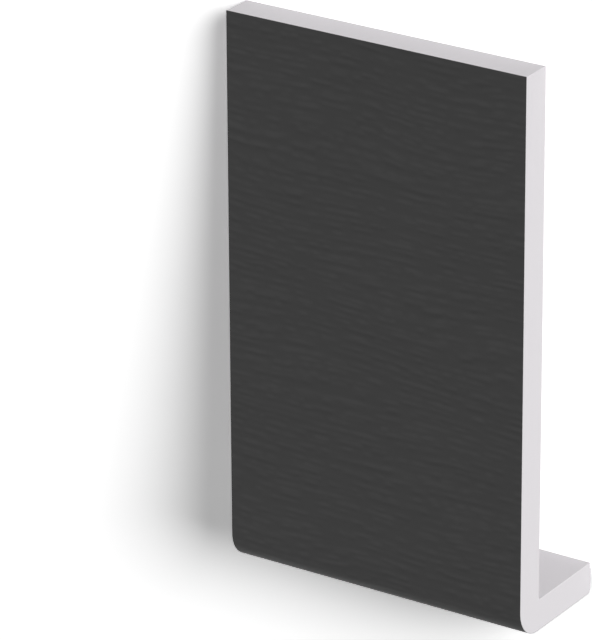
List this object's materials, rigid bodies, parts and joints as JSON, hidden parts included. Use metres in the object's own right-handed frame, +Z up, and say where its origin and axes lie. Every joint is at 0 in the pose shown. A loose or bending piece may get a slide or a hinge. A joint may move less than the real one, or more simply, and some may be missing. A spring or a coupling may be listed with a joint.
{
  "type": "cover fascia board",
  "caption": "Short length of roofline cover fascia board: dark wood-grain foil over a white cellular PVC board with a rounded heel and a short return leg.",
  "frame": {"origin": "on the floor, under the middle of the bounding box of the board as it lies by itself, show face up", "axes": "+X along the board's length, to the right as one faces a fixed board; +Y from the return leg towards the top edge; +Z up from the floor, out of the show face, which slopes 10.069 degrees down towards +Y"},
  "size_m": [0.1, 0.179, 0.0393],
  "materials": {
    "cellular_pvc": "white extruded skin, satin, with fine-pored saw-cut ends",
    "woodgrain_foil": "anthracite foil with embossed wood grain, satin"
  },
  "bodies": {
    "root": {"pvc_board": "cellular_pvc", "woodgrain_foil": "woodgrain_foil"}
  },
  "joints": []
}
